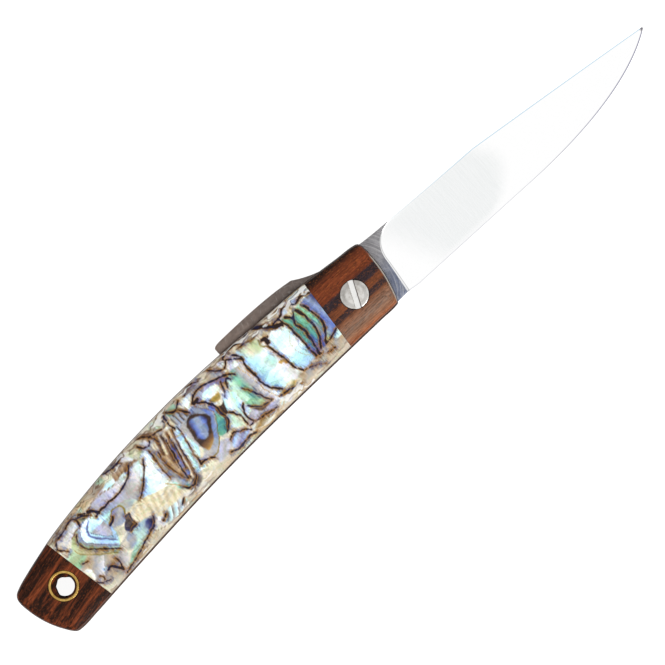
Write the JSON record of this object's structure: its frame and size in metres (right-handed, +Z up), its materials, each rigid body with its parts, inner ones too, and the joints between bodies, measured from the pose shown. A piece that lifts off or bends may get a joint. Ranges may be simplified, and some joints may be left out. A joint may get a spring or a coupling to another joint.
{
  "type": "folding pocket knife",
  "caption": "Friction folding pocket knife: blade with thumb lever, slotted pivot, hardwood bolsters, abalone shell scales and brass-ringed lanyard hole.",
  "frame": {"origin": "on the pivot's axis, at the plain flat face of the pivot nut, which lies in the plane that the knife rests on", "axes": "+X towards the tip of the open blade, +Y towards the handle's back, +Z up out of the front side"},
  "size_m": [0.1728, 0.0223, 0.0132],
  "materials": {
    "blade_steel": "mirror-polished bevel, satin ricasso, dull lever",
    "pivot_steel": "satin",
    "washer_bronze": "satin",
    "pin_steel": "plain",
    "dark_hardwood": "oiled, near black",
    "red_hardwood": "polished, streaked",
    "butt_hardwood": "polished, streaked",
    "abalone_shell": "polished, iridescent",
    "eyelet_brass": "polished"
  },
  "bodies": {
    "handle": {"base_front": "dark_hardwood", "base_rear": "dark_hardwood", "front_bolster_front": "red_hardwood", "front_bolster_rear": "red_hardwood", "shell_panel_front": "abalone_shell", "shell_panel_rear": "abalone_shell", "butt_bolster_front": "butt_hardwood", "butt_bolster_rear": "butt_hardwood", "back_spacer": "dark_hardwood", "pivot_screw": "pivot_steel", "pivot_nut": "pivot_steel", "washer_front": "washer_bronze", "washer_rear": "washer_bronze", "stop_pin": "pin_steel", "spacer_pin_a": "pin_steel", "spacer_pin_b": "pin_steel", "lanyard_eyelet_front": "eyelet_brass", "lanyard_eyelet_rear": "eyelet_brass"},
    "blade": {"blade": "blade_steel"}
  },
  "joints": [
    {"name": "blade_pivot", "type": "hinge", "parent": "handle", "child": "blade", "pos_m": [0, 0, 0.0065], "axis": [0, 0, -1], "range_deg": [0, 176]}
  ]
}
